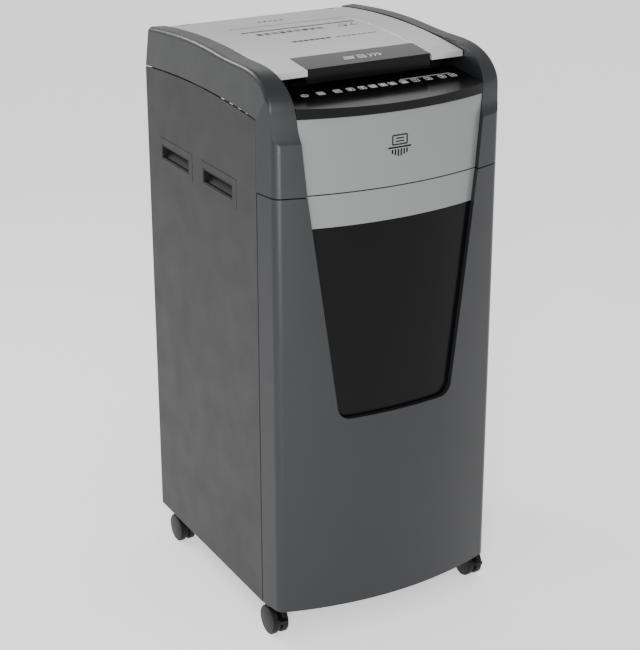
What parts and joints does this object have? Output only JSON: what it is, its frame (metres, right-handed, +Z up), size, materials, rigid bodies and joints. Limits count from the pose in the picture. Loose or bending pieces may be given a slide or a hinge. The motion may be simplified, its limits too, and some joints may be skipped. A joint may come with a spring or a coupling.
{
  "type": "paper shredder",
  "caption": "Tall office paper shredder on twin-wheel casters: hinged lid over an automatic feed tray, touch panel and throat, cutting unit, bowed door with a smoked window and a pull-out bin.",
  "frame": {"origin": "on the floor, under the middle of the machine's bounding box", "axes": "+Z up, +X to the right of somebody who stands in front of the machine, front towards -Y"},
  "size_m": [0.45, 0.519, 1.027],
  "materials": {
    "cabinet_paint": "satin powder coat, dark grey",
    "inner_steel": "satin black paint",
    "cover_grey": "fine moulded grain, dark grey",
    "fascia_silver": "silver lacquer",
    "lid_silver": "silver lacquer, fine metallic",
    "gloss_black": "polished black",
    "smoked_window": "smoked, polished",
    "black_plastic": "moulded black",
    "caster_black": "glass-filled nylon",
    "wheel_rubber": "hard grey-black tread",
    "cutter_steel": "hardened, lightly oiled",
    "zinc_steel": "zinc plated",
    "gear_steel": "sintered",
    "bearing_bronze": "sintered bronze",
    "motor_black": "black stove enamel",
    "board_green": "glass-fibre board with lacquer",
    "roller_rubber": "soft rubber",
    "bin_plastic": "moulded black, light sheen"
  },
  "bodies": {
    "cabinet": {"side_panel_left": "cabinet_paint", "side_panel_right": "cabinet_paint", "rear_panel": "cabinet_paint", "base_tray": "inner_steel", "divider_shelf": "inner_steel", "door_jambs": "inner_steel", "top_cover_left": "cover_grey", "top_cover_right": "cover_grey", "top_cover_rear": "cover_grey", "front_fascia": "fascia_silver", "control_panel": "gloss_black", "grip_cups": "black_plastic", "throat_guide": "black_plastic", "feed_chamber": "black_plastic", "lid_lock": "black_plastic", "door_catch": "black_plastic", "power_switch": "black_plastic", "cord_gland": "black_plastic", "gearbox_cover": "black_plastic", "caster_sockets": "black_plastic", "stripper_combs": "black_plastic", "pickup_belt": "roller_rubber", "control_board": "board_green", "motor_housing": "motor_black", "cutter_bearings": "bearing_bronze", "chassis_plate_left": "zinc_steel", "chassis_plate_right": "zinc_steel", "chassis_tie_bars": "zinc_steel", "case_screws": "zinc_steel", "lid_hinge_pins": "zinc_steel", "door_hinge_pins": "zinc_steel"},
    "lid": {"lid_shell": "lid_silver", "lid_handle": "gloss_black"},
    "press": {"pressure_plate": "black_plastic"},
    "door": {"door_shell": "cover_grey", "door_window": "smoked_window", "door_trim": "fascia_silver", "door_strike": "zinc_steel"},
    "bin": {"bin_tub": "bin_plastic"},
    "cutter_a": {"cutter_front": "cutter_steel", "sync_gear_front": "gear_steel"},
    "cutter_b": {"cutter_rear": "cutter_steel", "sync_gear_rear": "gear_steel"},
    "reduction": {"compound_gear": "gear_steel"},
    "motor_rotor": {"motor_pinion": "gear_steel"},
    "pickup": {"pickup_shaft": "zinc_steel", "pickup_rollers": "roller_rubber"},
    "rocker": {"power_rocker": "black_plastic"},
    "lock_bolt": {"lid_lock_bolt": "zinc_steel"},
    "interlock": {"door_switch_plunger": "black_plastic"},
    "caster_front_left": {"caster_fork_front_left": "caster_black"},
    "wheels_front_left": {"caster_wheels_front_left": "wheel_rubber"},
    "lever_front_left": {"brake_lever_front_left": "caster_black"},
    "caster_front_right": {"caster_fork_front_right": "caster_black"},
    "wheels_front_right": {"caster_wheels_front_right": "wheel_rubber"},
    "lever_front_right": {"brake_lever_front_right": "caster_black"},
    "caster_rear_left": {"caster_fork_rear_left": "caster_black"},
    "wheels_rear_left": {"caster_wheels_rear_left": "wheel_rubber"},
    "caster_rear_right": {"caster_fork_rear_right": "caster_black"},
    "wheels_rear_right": {"caster_wheels_rear_right": "wheel_rubber"}
  },
  "joints": [
    {"name": "lid_hinge", "type": "hinge", "parent": "cabinet", "child": "lid", "pos_m": [0, 0.2475, 1.0095], "axis": [-1, 0, 0], "range_deg": [0, 75]},
    {"name": "pressure_plate_slide", "type": "slide", "parent": "lid", "child": "press", "axis": [0, 0, 1], "range_m": [0, 0.008], "stiffness_N_per_m": 120, "springref_m": -0.01},
    {"name": "door_hinge", "type": "hinge", "parent": "cabinet", "child": "door", "pos_m": [-0.216, -0.1835, 0.44], "axis": [0, 0, -1], "range_deg": [0, 110]},
    {"name": "bin_slide", "type": "slide", "parent": "cabinet", "child": "bin", "axis": [0, -1, 0], "range_m": [0, 0.04]},
    {"name": "cutter_front_spin", "type": "hinge", "parent": "cabinet", "child": "cutter_a", "pos_m": [0, -0.1255, 0.84], "axis": [1, 0, 0], "continuous": true},
    {"name": "cutter_rear_spin", "type": "hinge", "parent": "cabinet", "child": "cutter_b", "pos_m": [0, -0.0815, 0.84], "axis": [1, 0, 0], "continuous": true},
    {"name": "reduction_spin", "type": "hinge", "parent": "cabinet", "child": "reduction", "pos_m": [0, -0.0485, 0.84], "axis": [1, 0, 0], "continuous": true},
    {"name": "motor_spin", "type": "hinge", "parent": "cabinet", "child": "motor_rotor", "pos_m": [0, -0.0035, 0.84], "axis": [1, 0, 0], "continuous": true},
    {"name": "pickup_spin", "type": "hinge", "parent": "cabinet", "child": "pickup", "pos_m": [0, -0.0525, 0.9185], "axis": [1, 0, 0], "continuous": true},
    {"name": "power_rocker_tilt", "type": "hinge", "parent": "cabinet", "child": "rocker", "pos_m": [0.09, 0.254, 0.18], "axis": [1, 0, 0], "range_deg": [-9, 9]},
    {"name": "lid_lock_slide", "type": "slide", "parent": "cabinet", "child": "lock_bolt", "axis": [1, 0, 0], "range_m": [0, 0.012], "stiffness_N_per_m": 80},
    {"name": "interlock_slide", "type": "slide", "parent": "cabinet", "child": "interlock", "axis": [0, 1, 0], "range_m": [0, 0.002], "stiffness_N_per_m": 150, "springref_m": -0.002},
    {"name": "swivel_front_left", "type": "hinge", "parent": "cabinet", "child": "caster_front_left", "pos_m": [-0.208, -0.163, 0.055], "axis": [0, 0, 1], "continuous": true},
    {"name": "roll_front_left", "type": "hinge", "parent": "caster_front_left", "child": "wheels_front_left", "pos_m": [-0.208, -0.185, 0.027], "axis": [1, 0, 0], "continuous": true},
    {"name": "brake_front_left", "type": "hinge", "parent": "caster_front_left", "child": "lever_front_left", "pos_m": [-0.208, -0.196, 0.0375], "axis": [1, 0, 0], "range_deg": [0, 14]},
    {"name": "swivel_front_right", "type": "hinge", "parent": "cabinet", "child": "caster_front_right", "pos_m": [0.208, -0.163, 0.055], "axis": [0, 0, 1], "continuous": true},
    {"name": "roll_front_right", "type": "hinge", "parent": "caster_front_right", "child": "wheels_front_right", "pos_m": [0.208, -0.185, 0.027], "axis": [1, 0, 0], "continuous": true},
    {"name": "brake_front_right", "type": "hinge", "parent": "caster_front_right", "child": "lever_front_right", "pos_m": [0.208, -0.196, 0.0375], "axis": [1, 0, 0], "range_deg": [0, 14]},
    {"name": "swivel_rear_left", "type": "hinge", "parent": "cabinet", "child": "caster_rear_left", "pos_m": [-0.208, 0.2245, 0.055], "axis": [0, 0, 1], "continuous": true},
    {"name": "roll_rear_left", "type": "hinge", "parent": "caster_rear_left", "child": "wheels_rear_left", "pos_m": [-0.208, 0.2025, 0.027], "axis": [1, 0, 0], "continuous": true},
    {"name": "swivel_rear_right", "type": "hinge", "parent": "cabinet", "child": "caster_rear_right", "pos_m": [0.208, 0.2245, 0.055], "axis": [0, 0, 1], "continuous": true},
    {"name": "roll_rear_right", "type": "hinge", "parent": "caster_rear_right", "child": "wheels_rear_right", "pos_m": [0.208, 0.2025, 0.027], "axis": [1, 0, 0], "continuous": true}
  ],
  "couplings": [
    {"joint": "cutter_rear_spin", "follows": "cutter_front_spin", "ratio": -1},
    {"joint": "reduction_spin", "follows": "cutter_front_spin", "ratio": 2},
    {"joint": "motor_spin", "follows": "cutter_front_spin", "ratio": -8},
    {"joint": "pickup_spin", "follows": "cutter_front_spin", "ratio": -1}
  ]
}
